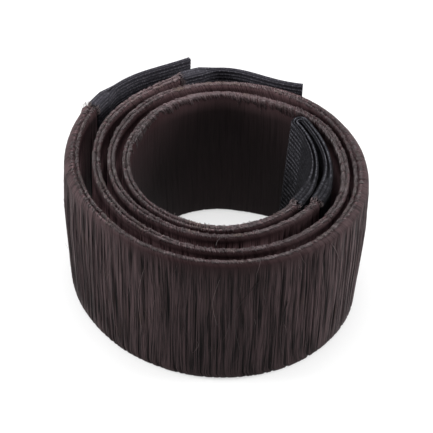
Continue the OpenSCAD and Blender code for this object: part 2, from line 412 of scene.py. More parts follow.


# Where the hair gets a painted highlight, painted light or painted shade, and where it is tinted.
# The tables go by turn or by distance below the rim.
shading = {
    "ridgeParting": (1.6, -0.3),  # how fast and how late a rim's two ridges part
    "stretch": 1.3,  # how far the puff draws out a rim's outer slope
    "overHole": [(180, 0), (215, 1), (380, 1), (402, 0)],  # where a rim looks into the hole
    "holeWall": [(395, 1), (410, 0)],  # where the inner half-band faces the hole
    "sleeveOver": [(318, 0), (328, 1)],  # where the inner sleeve leans over it
    # rims behind the hole, and the inner half-band's last stretch, which get painted light
    "back": [(225, 0), (250, 1), (300, 1), (330, 0), (550, 0), (585, 1)],
    # how bright the painted highlight on the rim round the hole is, as a share of that on the other
    # rims
    "holeRim": [(42, 1), (70, 2), (130, 2), (180, 1), (215, 0.6), (245, 0.95), (300, 0.95),
                (330, 0.6), (380, 0.55), (402, 1)],
    "sideRims": 0.45,  # share of their painted highlight that the rims lose at the left and right
    "backRims": 0.9,  # share of painted light by which the rims at the back are lighter
    "flank": (0.8, 0.0028),  # how much of the plain dark tint, and how far down it reaches
    "flankLoss": {"sides": 0.8, "between": 0.8, "back": 0.45},  # where it shows less
    "grooves": 0.97,  # how dark the painted shade in the grooves is
    "holeGrooves": 0.8,  # how much less painted groove shade there is in the hole
    "holeDepth": 0.36,  # how much darker the hole's wall is painted, as shade
    "holeTop": (0.7, 0.0025),  # how much painted light it has by its rim, and how far down
    # painted shade: the outer side darker towards its foot, by distance below the rim
    "wallFoot": [(0.02, 1), (0.044, 0.72)],
    "ridgeFoot": 0.0006,  # below the rim, where a wall begins
    # how much paler the hair between the turns is, as painted light
    "betweenDepth": [(0, 6), (0.002, 7.5), (0.012, 7.5), (0.03, 1)],
    "betweenTurn": [(34, 0.1), (62, 0.2), (80, 1), (535, 1), (560, 0.2), (613, 0.1)],
}


def ridgeOffset(band, along):  # of a rim's ridges from its middle
    speed, delay = shading["ridgeParting"]
    parted = byTurn(band["ridges"], band, along)
    return profile["ridgeStep"] * np.clip(parted * speed + delay, 0, 1)


def ridgeStretch(band, along, outside):
    return 1 + shading["stretch"] * band["puffed"] * byTurn(fullness, band, along) * outside


def rimOverHole(band, along):  # 1 where the rim looks down into the hole
    return (1 - band["puffed"]) * byTurn(shading["overHole"], band, along)


# 1 on the rims behind the hole and on the inner half-band's last stretch, which get painted light
def atBack(band, along):
    return byTurn(shading["back"], band, along)


def atSides(band, along):  # 1 at the coil's left and right
    return np.cos(np.radians(turnAt(band, along))) ** 2


# Painted highlight: how far the ridges' tops take the lighter Lit colour, as if light caught the
# hair there, weaker at the coil's left and right
def ridgePaintedHighlight(band, along, around):
    near = np.abs(np.abs(around - profile["top"]) - ridgeOffset(band, along))
    near = near * ridgeStretch(band, along, around < profile["top"])
    near = near / (1 + rimOverHole(band, along) * (around > profile["top"]))
    shine = 1 if band["puffed"] else byTurn(shading["holeRim"], band, along)
    shine = shine * (1 - shading["sideRims"] * atSides(band, along))
    return np.exp(-(near / hair["ridgeWidth"]) ** 2) * shine


def inHole(band, along, around):  # 1 on the wall round the hole
    facing = (around > profile["top"]) * (1 - band["puffed"])
    return byTurn(shading["holeWall"], band, along) * facing


def betweenTurns(band, along, around):  # 1 where the hair faces another turn
    turn = turnAt(band, along)
    outer = np.interp(turn, band["outsideShows"], [0, 1]) * (around <= profile["top"])
    inner = np.maximum(1 - inHole(band, along, around), fromTable(shading["sleeveOver"], turn))
    return inner * (1 - outer)


def belowRidge(around):  # 0 on a rim, 1 on a wall
    return np.clip(besideRim(around) / shading["ridgeFoot"], 0, 1)


def flankAt(band, along, around):  # how far the hair has the plain dark tint of the rims' sides
    amount, reach = shading["flank"]
    loss = shading["flankLoss"]
    flank = amount * np.exp(-besideRim(around) / reach)
    flank = flank * (1 - loss["sides"] * atSides(band, along) * (around < profile["top"]))
    flank = flank * (1 - loss["between"] * belowRidge(around) * betweenTurns(band, along, around))
    return flank * (1 - loss["back"] * atBack(band, along))


def shadeAt(band, along, around, groove):
    # Painted shade makes the grooves, the depth of the hole and the outer wall's foot darker, and
    # painted light makes the hole's top, the rims at the back and the hair between the turns paler
    beside, below = besideRim(around), belowRidge(around)
    hole = inHole(band, along, around)
    shade = 1 - shading["grooves"] * groove * (1 - shading["holeGrooves"] * hole)
    lighter, reach = shading["holeTop"]
    shade = shade * (1 + hole * (lighter * np.exp(-beside / reach) - shading["holeDepth"]))
    shade = shade * np.where(around > profile["top"], 1, fromTable(shading["wallFoot"], beside))
    shade = shade * (1 + shading["backRims"] * atBack(band, along) * (1 - below))
    paler = fromTable(shading["betweenDepth"], beside) * below
    paler = paler * byTurn(shading["betweenTurn"], band, along)
    return shade * (1 + betweenTurns(band, along, around) * paler)


def addObject(name, data):
    thing = bpy.data.objects.new(name, data)
    bpy.context.scene.collection.objects.link(thing)
    return thing


def gridMesh(name, points, layers, uv=None, pinch=1e-7, split=None):
    # A grid of points is moved into place, its last row is welded to its first, and the
    # holes that are left at its ends are filled.
    columns, rows = points.shape[:2]
    bm = bmesh.new()
    bmesh.ops.create_grid(bm, x_segments=columns - 1, y_segments=rows - 1, size=1)
    mesh = bpy.data.meshes.new(name)
    bm.to_mesh(mesh)
    bm.free()
    place = np.empty(len(mesh.vertices) * 3)
    mesh.vertices.foreach_get("co", place)
    place = place.reshape(-1, 3)
    column = np.rint((place[:, 0] + 1) / 2 * (columns - 1)).astype(int)
    row = np.rint((place[:, 1] + 1) / 2 * (rows - 1)).astype(int)
    mesh.vertices.foreach_set("co", points[column, row].ravel())
    for layer, values in layers.items():
        mesh.attributes.new(layer, "FLOAT", "POINT").data.foreach_set(
            "value", values[column, row].astype(np.float32))
    if uv is not None:
        corner = np.empty(len(mesh.loops), int)
        mesh.loops.foreach_get("vertex_index", corner)
        mesh.uv_layers.new(name="comb").data.foreach_set(
            "uv", uv[column[corner], row[corner]].ravel().astype(np.float32))
    bm = bmesh.new()
    bm.from_mesh(mesh)
    if split:
        bm.verts.ensure_lookup_table()
        loose = [f for f in bm.faces
                 if min(column[v.index] for v in f.verts) % split == split - 1]
        bmesh.ops.delete(bm, geom=loose, context="FACES_ONLY")
        bmesh.ops.remove_doubles(bm, verts=bm.verts, dist=pinch)
    else:
        bm.verts.ensure_lookup_table()
        seam = [bm.verts[i] for i in np.nonzero((row == 0) | (row == rows - 1))[0]]
        bmesh.ops.remove_doubles(bm, verts=seam, dist=pinch)
        openEdges = [e for e in bm.edges if e.is_boundary]
        bmesh.ops.holes_fill(bm, edges=openEdges, sides=0)
    bmesh.ops.recalc_face_normals(bm, faces=bm.faces)
    for face in bm.faces:
        face.smooth = len(face.verts) < 5
    bm.to_mesh(mesh)
    bm.free()
    return addObject(name, mesh)


def makeHalfBand(name, band):
    bare = hair["bareLength"]
    length = band["length"]
    count = round(length / hair["columnPitch"])
    rounding = hair["shoulder"] * np.array(hair["shoulderSteps"])
    bareSteps = np.array([bare, bare / 2, hair["bareRoot"]])
    along = np.concatenate([
        -bareSteps, rounding, np.linspace(hair["shoulder"], length - hair["shoulder"], count),
        length - rounding[::-1], length + bareSteps[::-1]])
    marks = profile["marks"]
    around = np.concatenate([
        np.linspace(marks[i], marks[i + 1], n, endpoint=False)
        for i, n in enumerate(hair["rowCounts"])] + [[marks[-1]]])
    u, v = np.meshgrid(along, around, indexing="ij")
    lift, groove, tone, comb = relief(band, u, v)
    points = bandPoint(band, u, v, lift)[0]
    points[:, -1] = points[:, 0]
    uv = np.stack([comb, v], -1) * hair["mapScale"]
    # Beside tone, tint and calm, the layers carry painted shade and painted light, and the painted
    # highlight on the ridges
    layers = {"tone": tone, "shade": shadeAt(band, u, v, groove), "painted_highlight": ridgePaintedHighlight(band, u, v),
              "flank": flankAt(band, u, v), "calm": hair["holeCalm"] * inHole(band, u, v)}
    piece = gridMesh(name, points, layers, uv)
    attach(piece, "root")
    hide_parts(band["node"])
    return piece


# Single hairs
strands = {
    "innerRimStrands": {"thickness": (0.00006, 0.00011), "points": 6, "count": 4800, "seed": 5},
    "outerRimStrands": {"thickness": (0.00006, 0.00011), "points": 6, "count": 4800, "seed": 8},
    "wallStrands": {"thickness": (0.00004, 0.00008), "points": 12, "count": 400, "seed": 6},
}
lie = {  # how they lie on the winding
    "height": 0.00003, "stray": 0.00018, "endGap": 0.0004,
    "arch": (1.2, 0.7),  # how the arches' heights scatter, and how round they are
}


def strandMesh(name, points, normals, thickness, tones, painted_highlights=None):
    # Thin three-sided strands, pinched to a point at both ends
    count, steps = points.shape[:2]
    along = unit(np.gradient(points, axis=1))
    across = unit(np.cross(along, normals))
    normals = np.cross(across, along)
    taper = np.ones(steps)
    taper[[0, -1]] = 0
    radius = (thickness[:, None] * taper)[..., None]
    rings = []
    for corner in range(4):
        angle = 2 * math.pi * (corner % 3) / 3
        rings.append(points + radius * (across * math.sin(angle) + normals * math.cos(angle)))
    grid = np.stack(rings, 2).reshape(count * steps, 4, 3)
    tone = np.repeat(tones, steps * 4).reshape(count * steps, 4)
    # Painted highlight along each strand, strongest at its middle unless given
    if painted_highlights is None:
        painted_highlights = np.tile(np.sin(math.pi * np.linspace(0, 1, steps)), (count, 1))
    painted_highlight = np.repeat(painted_highlights.ravel(), 4).reshape(count * steps, 4)
    piece = gridMesh(name, grid, {"tone": tone, "painted_highlight": painted_highlight}, split=steps)
    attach(piece, "root")
    return piece


def strandsOver(band, source, along, middle, before, after, steps, loose, lift=0):
    # Strands that follow the winding, from a distance before to a distance after its middle
    share = np.linspace(0, 1, steps)
    bow = np.sin(math.pi * share)
    around = middle[:, None] - before[:, None] + (before + after)[:, None] * share
    stray = source.normal(0, lie["stray"], (len(along), 1)) * bow
    u = along[:, None] + slantAt(around) - slantAt(middle)[:, None] + stray
    u = np.clip(u, lie["endGap"], band["length"] - lie["endGap"])
    scatter, roundness = lie["arch"]
    arch = source.gamma(scatter, loose, (len(along), 1)) * bow ** roundness
    height = relief(band, u, around)[0]
    return bandPoint(band, u, around, height + lie["height"] + arch + lift)


tuft = {  # a rim's hairs lie in tufts
    "hairs": 2, "spread": 0.00006, "lift": 0.00006,
    "endGap": 0.0006,
    "offRidge": 0.0001,
    "reach": (0.0003, 0.0009),  # to each side of a ridge
    "loose": 0.00008,
    "hanging": 0.8,  # share of the tufts that hang into the hole
    "gather": 0.0022,  # length of rim over which these get longer and shorter
    "hangingReach": (0.0006, 0.003),  # the shortest, and what the longest have more
    "hangingSpread": (0.2, 1.3), "hairSpread": (0.8, 1.1),
    # tone of the darkest, what the palest have more, and how rare those are
    "tones": (0.2, 0.85, 1.6),
    # painted light and shade: how much paler hanging hairs and hairs at the back are, and how much
    # darker those at the left and right
    "toneShift": {"hanging": 0.2, "back": 0.5, "sides": -0.5},
    "painted_highlight": (5, 0.7),  # how fast a hanging hair's painted highlight begins, and how it fades
}


def makeRimStrands(name, band):
    # Short tufts over the ridges, and longer ones that hang from the rim into the hole
    settings = strands[name]
    source = np.random.default_rng(settings["seed"])
    count = settings["count"]
    tufts = count // tuft["hairs"]

    def each(values):  # the same for every hair of a tuft
        return np.repeat(values, tuft["hairs"])

    root = each(source.uniform(tuft["endGap"], band["length"] - tuft["endGap"], tufts))
    along = root + source.normal(0, tuft["spread"], count)
    side = each(source.choice([-1, 1], tufts))
    middle = profile["top"] + side * ridgeOffset(band, root)
    middle = middle + each(source.normal(0, tuft["offRidge"], tufts))
    stretch = ridgeStretch(band, root, side < 0)
    before, after = source.uniform(*tuft["reach"], (2, count)) / stretch
    hanging = each(source.uniform(0, 1, tufts)) < tuft["hanging"] * rimOverHole(band, root)
    clump = 0.5 + 0.5 * softNoise(settings["seed"], root / tuft["gather"], root * 0)
    shortest, more = tuft["hangingReach"]
    reach = (shortest + more * clump) * each(source.uniform(*tuft["hangingSpread"], tufts))
    reach = reach * source.uniform(*tuft["hairSpread"], count)
    after = np.where(hanging, after + reach, after)
    lift = each(source.uniform(0, tuft["lift"], tufts))[:, None]
    points, normals = strandsOver(band, source, along, middle, before, after,
                                  settings["points"], tuft["loose"], lift)
    thickness = source.uniform(*settings["thickness"], count)
    darkest, paler, rarity = tuft["tones"]
    tones = each(source.uniform(0, 1, tufts) ** rarity) * source.uniform(*tuft["hairSpread"], count)
    # Painted light and shade: hanging hairs and hairs at the back are paler, those at the left and
    # right darker
    shift = tuft["toneShift"]
    tones = darkest + paler * tones + shift["hanging"] * hanging
    tones = tones + shift["back"] * atBack(band, root) + shift["sides"] * atSides(band, root)
    # Painted highlight: a hanging hair's begins near the rim and fades towards its tip, a tuft's is
    # strongest at its middle
    share = np.linspace(0, 1, settings["points"])
    start, fade = tuft["painted_highlight"]
    painted_highlights = np.where(hanging[:, None], np.minimum(share * start, 1) * (1 - share) ** fade,
                     np.sin(math.pi * share))
    return strandMesh(name, points, normals, thickness, np.clip(tones, 0, 1), painted_highlights)


wallHairs = {
    "inset": 0.012,  # of their middles from the wall's foot and top
    "reach": (0.008, 0.034),  # to each side of its middle
    "loose": 0.00002,
    "gather": (0.0004, 0.012),  # lengths along and up the wall over which their tone changes
    "tones": (0.75, 0.9), "toneSpread": (0.6, 1),
}


def outsideStretch(band):  # ends of the stretch where a half-band's outside shows
    return alongAt(band, [band["outsideShows"][0], band["end"]])


def makeWallStrands(name, band):
    settings = strands[name]
    source = np.random.default_rng(settings["seed"])
    count = settings["count"]
    low, high = profile["marks"][1:3]
    along = source.uniform(*outsideStretch(band), count)
    middle = source.uniform(low + wallHairs["inset"], high - wallHairs["inset"], count)
    before = np.minimum(source.uniform(*wallHairs["reach"], count), middle - low)
    after = np.minimum(source.uniform(*wallHairs["reach"], count), high - middle)
    points, normals = strandsOver(band, source, along, middle, before, after,
                                  settings["points"], wallHairs["loose"])
    thickness = source.uniform(*settings["thickness"], count)
    alongCell, upCell = wallHairs["gather"]
    usual, change = wallHairs["tones"]
    beside = softNoise(settings["seed"], along / alongCell, middle / upCell)
    tones = np.clip(usual + change * beside, 0, 1) * source.uniform(*wallHairs["toneSpread"], count)
    return strandMesh(name, points, normals, thickness, tones)


looseHairs = {
    "thickness": (0.00002, 0.00004), "points": 12, "count": 90, "seed": 9,
    "pastRim": 0.0008,  # highest middle
    "reach": (0.0015, 0.0045), "tilt": 0.25, "curl": 0.0005,
    "raised": (1.5, 0.00025),  # how the heights of their tips scatter, and how high they are
    "height": 0.00005,
    "tones": (0.2, 1),
    "listedThickness": 0.00007, "listedHeight": 0.00012,  # of the hairs in the lists below
    # turn and height of hairs that lie on the outer wall
    "onWall": [
        [(433.9, 0.0394), (443.3, 0.0257), (440.4, 0.0090)],
        [(407.6, 0.0424), (404.5, 0.0380), (401.8, 0.0325)],
        [(432.8, 0.0380), (433.8, 0.0340), (433.0, 0.0300)],
        [(449.0, 0.0400), (451.5, 0.0300), (449.5, 0.0210)],
        [(478.0, 0.0370), (480.5, 0.0250), (478.5, 0.0100)],
        [(512.0, 0.0350), (509.5, 0.0240), (511.5, 0.0140)],
        [(424.0, 0.0280), (426.5, 0.0170), (425.0, 0.0060)],
    ],
    # a hair that bridges the gap between two turns at the front
    "bridge": [(0.0039, -0.0339, 0.0452), (0.0012, -0.0343, 0.0461), (-0.0003, -0.0356, 0.0460),
               (-0.0008, -0.0375, 0.0453)],
}


def strandsFrom(name, settings, source, parts):
    points, normals = (np.concatenate(part) for part in zip(*parts))
    thickness = source.uniform(*settings["thickness"], len(points))
    if "listedThickness" in settings:
        thickness[settings["count"]:] = settings["listedThickness"]
    tones = source.uniform(*settings["tones"], len(points))
    return strandMesh(name, points, normals, thickness, tones)


def makeLooseHairs(band):
    source = np.random.default_rng(looseHairs["seed"])
    share = np.linspace(0, 1, looseHairs["points"])
    count = looseHairs["count"]
    marks = profile["marks"]
    perHair = (count, 1)
    along = source.uniform(*outsideStretch(band), perHair)
    middle = source.uniform(marks[1], marks[2] + looseHairs["pastRim"], perHair)
    reach = source.uniform(*looseHairs["reach"], perHair)
    tilt = source.normal(0, looseHairs["tilt"], perHair)
    curl = source.normal(0, looseHairs["curl"], perHair) * np.sin(math.pi * share)
    around = np.clip(middle + reach * (2 * share - 1), marks[1], marks[3])
    raised = source.gamma(*looseHairs["raised"], perHair) * share ** 2 + looseHairs["height"]
    parts = [bandPoint(band, along + tilt * (around - middle) + curl, around, raised)]
    for knots in looseHairs["onWall"]:
        turn, height = (smoothed(column, share * (len(knots) - 1)) for column in zip(*knots))
        around = marks[1] + height - hair["rimHeight"]
        point, normal = bandPoint(band, alongAt(band, turn), around, looseHairs["listedHeight"])
        parts.append((point[None], normal[None]))
    bridge = looseHairs["bridge"]
    point = np.stack([smoothed(column, share * (len(bridge) - 1)) for column in zip(*bridge)], -1)
    parts.append((point[None], np.tile([0.0, 0.0, 1.0], (1, len(share), 1))))
    return strandsFrom("looseHairs", looseHairs, source, parts)


mouthHairs = {
    "thickness": (0.00004, 0.00008), "points": 6, "count": 44, "seed": 4,
    "root": 0.0009,  # from the ribbon's mouth
    "reach": (0.0002, 0.0013),  # over the ribbon
    "height": 0.00005, "lift": 0.00036,
    "pastRim": 0.0004, "spread": 0.0003,
    "tones": (0.1, 1),
}


def makeMouthHairs():
    # Ends of the winding that stray over the mouths of the ribbons
    source = np.random.default_rng(mouthHairs["seed"])
    count, root, pastRim = (mouthHairs[key] for key in ("count", "root", "pastRim"))
    share = np.linspace(0, 1, mouthHairs["points"])
    marks = profile["marks"]
    parts = []
    for band in halfBands.values():
        for end, way in ((0, -1), (band["length"], 1)):
            around = source.uniform(marks[2] - pastRim, marks[3] + pastRim, (count, 1))
            around = around + source.normal(0, mouthHairs["spread"], (count, 1)) * share
            run = share * (root + source.uniform(*mouthHairs["reach"], (count, 1)))
            lift = mouthHairs["height"] + mouthHairs["lift"] * np.clip(run / root, 0, 1) ** 2
            along = np.full(around.shape, end - way * root)
            point, normal = bandPoint(band, along, around, lift)
            step = point - bandPoint(band, along - way * probe, around, lift)[0]
            parts.append((point + unit(step) * run[..., None], normal))
    return strandsFrom("mouthHairs", mouthHairs, source, parts)


# The black ribbed ribbon
ribbon = {
    "ply": 0.0008,
    "rise": 0.0005,  # above the rims
    "lift": 0.0003,  # above the ground
    "fitGap": 0.0003,
    "taper": 0.005,  # over which a tab thickens towards its pocket
    "taperCurve": 1.5,
    "armThickness": 0.0022,
    "foldGap": 0.0009,
    "foldSlant": 0.003,
    "ribs": {"sleeve": 27, "tab": 38},
    "ribDepth": 0.0004,
    "ribCurve": 0.7,  # below 1 a rib is round and its valley sharp
    "rowsPerRib": 5,
    "edgeSteps": 12,
    "edgeRibs": 3,  # on an edge where the ribbon is one ply folded over
    "edgeCorner": 0.25,  # share of the half thickness over which that edge rounds off
    "plyCrease": 0.0014,
    "sleeveSteps": 8,
    "armTaper": 0.012,  # over which an arm does
    "crestHighlight": 4,  # how narrow the painted highlight along the top of a rib is
    "plain": 0.16,  # how much painted highlight the ribbon keeps where its ribs don't show
    "foldedEdge": 0.4,  # how strong the painted highlight on a folded edge is, of that on one with two plies
}
pocketHalf = hair["bareThickness"] / 2 + ribbon["fitGap"]
sleeveHalf = pocketHalf + ribbon["ply"]
ribbonTop = hair["width"] + ribbon["rise"]
# The inner sleeve's fold, as a turn, degrees away from the wall, and degrees between its arms.
# A grip is how firmly a bend keeps to the headings at its ends.
fold = {
    "turn": 325, "dive": 17, "spread": -2,
    "grip": 0.66, "steps": 22, "armGrip": 0.36, "armSteps": 60,
    "clearRibs": (0.0085, 0.0095),  # distances from it over which the ribs facing the hole fade, in relief and in their painted highlight
    "ribClarity": (1, 0.1), "pocketSideClarity": 0.35,
}
tabs = {
    "outerTab": {"node": "outer_tab", "band": "outerHalfBand", "radii": outerRadii, "end": 572,
                 "length": 0.030, "chord": -20.5, "curl": -26},
    "innerTab": {"node": "inner_tab", "band": "innerHalfBand", "radii": innerRadii, "end": 613,
                 "length": 0.031, "chord": -29, "curl": -25},
}
tabShape = {"grip": 0.42, "steps": 60, "ribClarity": (0.7, 0.7)}


def turned(vector, degrees):
    c, s = math.cos(math.radians(degrees)), math.sin(math.radians(degrees))
    return np.array([vector[0] * c - vector[1] * s, vector[0] * s + vector[1] * c])


def station(radii, turn):  # place and heading
    return np.concatenate([planPoint(radii, turn), headingAt(radii, turn)])


def reversedWay(s):
    return s * np.array([1, 1, -1, -1])


def bendBetween(start, end, grip, count):
    a, d = start[:2], end[:2]
    reach = grip * np.linalg.norm(d - a)
    b, c = a + start[2:] * reach, d - end[2:] * reach
    t = np.linspace(0, 1, count + 1)[:, None]
    u = 1 - t
    place = u ** 3 * a + 3 * u * u * t * b + 3 * u * t * t * c + t ** 3 * d
    heading = unit(u * u * (b - a) + 2 * u * t * (c - b) + t * t * (d - c))
    return np.concatenate([place, heading], 1)


def sleeveStations(radii, mouth, side, flip):
    radius = smoothed(radii, mouth / coil["turnStep"])
    count = ribbon["sleeveSteps"]
    deep = math.degrees((hair["bareLength"] + ribbon["fitGap"]) / radius)
    shallow = math.degrees(ribbon["fitGap"] / radius)
    rows = []
    for i in range(count, -1, -1):
        s = station(radii, mouth + side * (shallow + (deep - shallow) * i / count))
        rows.append(reversedWay(s) if flip else s)
    return np.array(rows)


def ribbonColumns(flat, sleeve, flatHalf, taper, foot=(0, 0)):
    # Columns of station, half thickness, lowest, highest, foot step, ribs and crease, from
    # the flat end to the sleeve's mouth and back inside to where the bare end stops
    columns = []
    last = len(flat) - 1
    low, high = ribbon["lift"], ribbonTop
    for i, s in enumerate(flat):
        left = np.linalg.norm(flat[last][:2] - s[:2])
        swell = max(0, 1 - left / taper) ** ribbon["taperCurve"]
        half = flatHalf + (sleeveHalf - flatHalf) * swell
        step = np.array(foot) * (1 - i / last)
        columns.append([*s, half, low, high, *step, 1, 1 - swell])
    for s in sleeve[1:]:
        columns.append([*s, sleeveHalf, low, high, 0, 0, 1, 0])
    wall = ribbon["ply"]
    for s in sleeve[::-1]:
        columns.append([*s, pocketHalf, low + wall, high - wall, 0, 0, 0, 0])
    return np.array(columns)


def ribbonOutline(ribs):
    edge = np.sin(np.linspace(0, math.pi / 2, ribbon["edgeSteps"] + 1))[1:]
    levels = np.linspace(0, 1, ribs * ribbon["rowsPerRib"] + 1)[1:-1]
    side = np.ones(len(levels))
    low, high = edge * 0, edge * 0 + 1
    across = [[0], edge, side, edge[::-1], [0], -edge, -side, -edge[::-1], [0]]
    level = [[0], low, levels, high, [1], high, levels[::-1], low, [0]]
    return {"across": np.concatenate(across), "level": np.concatenate(level)}


def ribbonEdge(across, plies):
    # Depth and painted highlight of the ribbon's upper or lower edge, which is two plies where
    # plies is 1 and one ply folded over, with ribs, where it is 0
    share, halfPly = np.abs(across), ribbon["ply"] / 2
    rounding = halfPly * (1 - np.sqrt(np.clip(1 - (2 * share - 1) ** 2, 0, 1)))
    valley = np.where(share < 0.5, np.cos(math.pi * share) ** 2, 0) * ribbon["plyCrease"]
    wave = np.abs(np.cos(ribbon["edgeRibs"] / 2 * math.pi * across)) ** ribbon["ribCurve"]
    corner = np.clip((share - 1) / ribbon["edgeCorner"] + 1, 0, 1)
    folded = ribbon["ribDepth"] * (1 - wave) + halfPly * (1 - np.sqrt(1 - corner ** 2))
    depth = folded + (rounding + valley - folded) * plies
    return depth, wave + (np.sin(math.pi * share) ** 3 - wave) * plies


def makeRibbon(name, node, columns, ribs, clarity):
    # Clarity is how plainly the ribs show, in relief and in their painted highlight, to the left
    # and to the right of the columns
    outline = ribbonOutline(ribs)
    s = columns[:, None, :]
    across, level = outline["across"], outline["level"]
    half, low, high = s[..., 4], s[..., 5], s[..., 6]
    wave = np.abs(np.sin(math.pi * ribs * level)) ** ribbon["ribCurve"]
    clear = np.where(across > 0, *(np.reshape(side, (-1, 1)) for side in clarity))
    offset = across * (half - ribbon["ribDepth"] * (1 - wave) * s[..., 9] * clear)
    onEdge = (level == 0) | (level == 1)
    depth, edgeHighlight = ribbonEdge(across, s[..., 10])
    drop = np.where(onEdge, depth, 0) * s[..., 9]
    height = low + (high - low) * level + np.where(level == 0, drop, -drop)
    down = 1 - height / hair["width"]
    point = np.stack([
        s[..., 0] - s[..., 3] * offset + (s[..., 7] - coil["lean"]) * down,
        s[..., 1] + s[..., 2] * offset + s[..., 8] * down, height], -1)
    along = runningLength(columns[:, :2])
    around = np.concatenate([[0], np.cumsum(np.abs(np.diff(level)) * hair["width"]
                                            + np.abs(np.diff(across)) * ribbon["ply"])])
    uv = np.stack(np.broadcast_arrays(along[:, None], around[None]), -1) * hair["mapScale"]
    # Painted highlight on the ribs' tops and on the edges, kept in the rib layer
    least, plain = ribbon["foldedEdge"], ribbon["plain"]
    edgeHighlight = edgeHighlight ** 2 * (least + (1 - least) * s[..., 10])
    rib = np.where(onEdge, edgeHighlight, plain + (wave ** ribbon["crestHighlight"] - plain) * clear) * s[..., 9]
    rib = np.broadcast_to(rib, point.shape[:2])
    point[:, -1] = point[:, 0]
    piece = gridMesh(name, point, {"rib": rib}, uv)
    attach(piece, "root")
    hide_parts(node)
    return piece


def makeTab(name, tab):
    sleeve = sleeveStations(tab["radii"], tab["end"], 1, True)
    root = sleeve[0]
    tip = root[:2] + turned(-root[2:], tab["chord"]) * tab["length"]
    start = np.concatenate([tip, -turned(-root[2:], tab["curl"])])
    flat = bendBetween(start, root, tabShape["grip"], tabShape["steps"])
    columns = ribbonColumns(flat, sleeve, ribbon["ply"], ribbon["taper"])
    return makeRibbon(name, tab["node"], columns, ribbon["ribs"]["tab"], tabShape["ribClarity"])


def makeInnerSleeve():
    armHalf = ribbon["armThickness"] / 2
    beside = station(innerRadii, fold["turn"])
    foldRadius = (ribbon["armThickness"] + ribbon["foldGap"]) / 2
    foot = -ribbon["foldSlant"] * beside[2:]
    left = turned(beside[2:], 90)
    sag = ribbon["foldSlant"] ** 2 / (2 * np.linalg.norm(beside[:2]))
    clear = hair["thickness"] / 2 + ribbon["fitGap"] + sag + foldRadius + armHalf
    middle = beside[:2] - left * clear
    heading = turned(beside[2:], -fold["dive"])
    ends = {}
    for side in (-1, 1):
        ends[side] = np.concatenate([middle + turned(heading, 90) * foldRadius * side,
                                     turned(heading, side * fold["spread"] / 2)])
    arms = {}
    for side, name in ((-1, "innerHalfBand"), (1, "outerHalfBand")):
        band = halfBands[name]
        sleeve = sleeveStations(band["radii"], band["start"], -1, False)
        flat = bendBetween(ends[side], sleeve[0], fold["armGrip"], fold["armSteps"])
        arms[side] = ribbonColumns(flat, sleeve, armHalf, ribbon["armTaper"], foot)
    inner = arms[-1][::-1].copy()
    inner[:, 2:4] *= -1
    bend = bendBetween(reversedWay(ends[-1]), ends[1], fold["grip"], fold["steps"])[1:-1]
    rest = np.tile([armHalf, ribbon["lift"], ribbonTop, *foot, 1, 1], (len(bend), 1))
    columns = np.concatenate([inner, np.concatenate([bend, rest], 1), arms[1]])
    along = runningLength(columns[:, :2])
    fromFold = np.abs(along - along[len(inner) + len(bend) // 2])
    outside = np.interp(fromFold, fold["clearRibs"], fold["ribClarity"])
    inside = np.full(len(columns), fold["pocketSideClarity"])
    return makeRibbon("innerSleeve", "inner_sleeve", columns, ribbon["ribs"]["sleeve"],
                      (outside, inside))


def fillNode(tree, node, **values):  # settings by name, inputs by in_ and their name
    for key, value in values.items():
        if key.startswith("in_"):
            name = key[3:].replace("_", " ")
            socket = node.inputs[int(name)] if name.isdigit() else node.inputs[name]
            if isinstance(value, bpy.types.NodeSocket):
                tree.links.new(value, socket)
            else:
                socket.default_value = value
        else:
            setattr(node, key, value)
    return node


def addNode(tree, kind, **values):
    return fillNode(tree, tree.nodes.new(kind), **values)


def calculated(tree, operation, *numbers, clamp=False):
    given = {"in_%d" % i: number for i, number in enumerate(numbers)}
    node = addNode(tree, "ShaderNodeMath", operation=operation, use_clamp=clamp, **given)
    return node.outputs[0]


def mixedColour(tree, share, first, second, way="MIX"):
    node = addNode(tree, "ShaderNodeMix", data_type="RGBA", blend_type=way, in_0=share, in_6=first,
                   in_7=second)
    return node.outputs[2]


# Colours and finishes. Streaks and knit are laid out on the piece's own map, in millimetres.
hairColour = {
    "streakContrast": (12.0, -5.15),  # how strongly a streak shows, and how many are dark
    "calmLevel": 0.3,  # between dark and light, where the streaks are calmed
    "sparkle": (1.0, 0.1),  # share of the painted highlight that pale hair and all hair has
}
woundHair = {
    "streaks": (3.3, 0.06, 1), "streakDetail": 3.0, "streakRoughness": 0.7, "bump": 0.8,
    "toneShare": 0.24, "roughness": 0.5, "gloss": 0.05,
    "Dark": (0.0045, 0.0027, 0.003, 1), "Light": (0.0515, 0.0332, 0.0352, 1),
    # Lit is the colour of the painted highlight
    "Tint": (0.015, 0.0070, 0.0076, 1), "Lit": (0.105, 0.073, 0.077, 1),
}
singleHair = {
    "streak": 0.4, "roughness": 0.4,
    "golden": (0.95, 0.92, 0.62),  # tint of the golden patches in the painted highlight
    "patches": 140.0, "patchDetail": 2.0, "patchEdges": (0.54, 0.74),
}
singleHairs = {
    # Lit is the colour of each kind's painted highlight
    "rimStrand": {"gloss": 0.4, "Dark": (0.019, 0.0122, 0.013, 1),
                  "Light": (0.05, 0.0345, 0.0365, 1), "Lit": (0.165, 0.117, 0.123, 1)},
    "wallStrand": {"gloss": 0.08, "Dark": (0.003, 0.0018, 0.002, 1),
                   "Light": (0.055, 0.037, 0.039, 1), "Lit": (0.105, 0.076, 0.081, 1)},
    "looseHair": {"gloss": 0.3, "Dark": (0.015, 0.01, 0.01, 1),
                  "Light": (0.08, 0.055, 0.057, 1), "Lit": (0.19, 0.14, 0.145, 1)},
}
knit = {
    "stitches": (2.2, 1.3, 1), "unevenness": 0.45, "roughness": 0.7, "gloss": 0.04, "bump": 0.8,
    "stitchSize": 0.55, "stitchTone": (2.0, 0.1),  # painted glints: share of the painted highlight in a stitch's middle and at its edge
}
